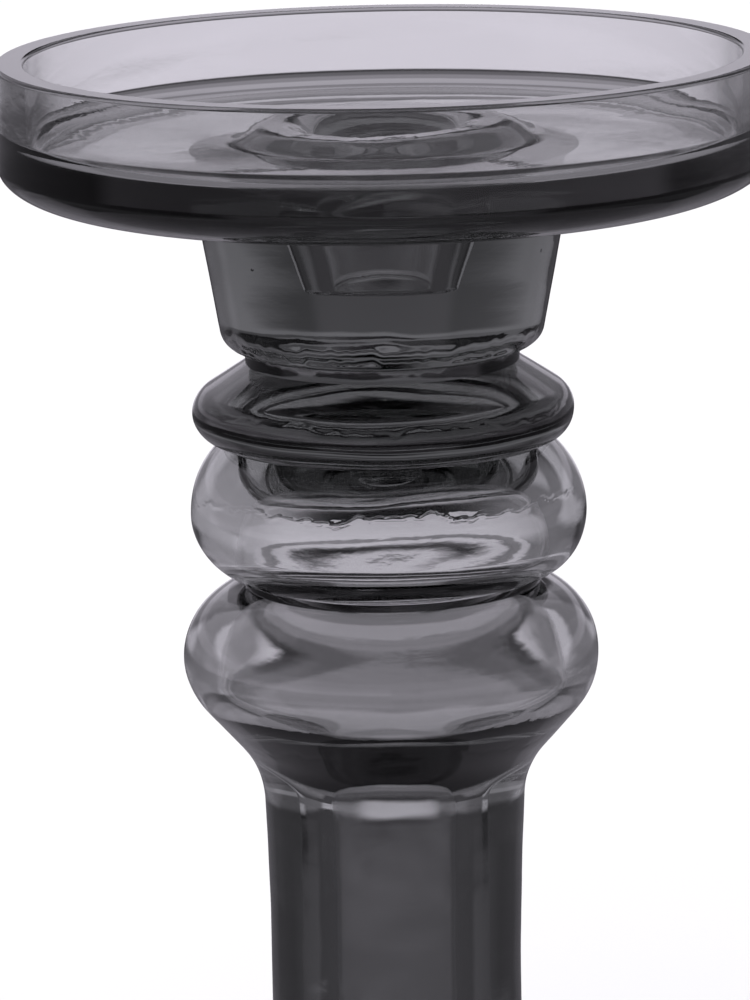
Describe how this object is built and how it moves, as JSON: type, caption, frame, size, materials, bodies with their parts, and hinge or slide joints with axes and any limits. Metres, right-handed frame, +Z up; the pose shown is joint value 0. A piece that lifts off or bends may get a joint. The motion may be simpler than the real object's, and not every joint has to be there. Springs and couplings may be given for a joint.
{
  "type": "glass candlestick",
  "caption": "Tall tinted glass candlestick: a flat dish for a pillar candle, a taper socket sunk in its floor, ringed baluster neck, hollow stem and bell foot.",
  "frame": {"origin": "centre of the foot's underside, on the table", "axes": "+Z up along the stem; the body is a solid of revolution about Z, so X and Y are free"},
  "size_m": [0.1258, 0.1258, 0.25],
  "materials": {
    "smoke_glass": "polished, grey tint that deepens with thickness"
  },
  "bodies": {
    "root": {"dish": "smoke_glass", "socket_collar": "smoke_glass", "upper_ring": "smoke_glass", "middle_ring": "smoke_glass", "bulb": "smoke_glass", "stem": "smoke_glass", "foot": "smoke_glass"}
  },
  "joints": []
}
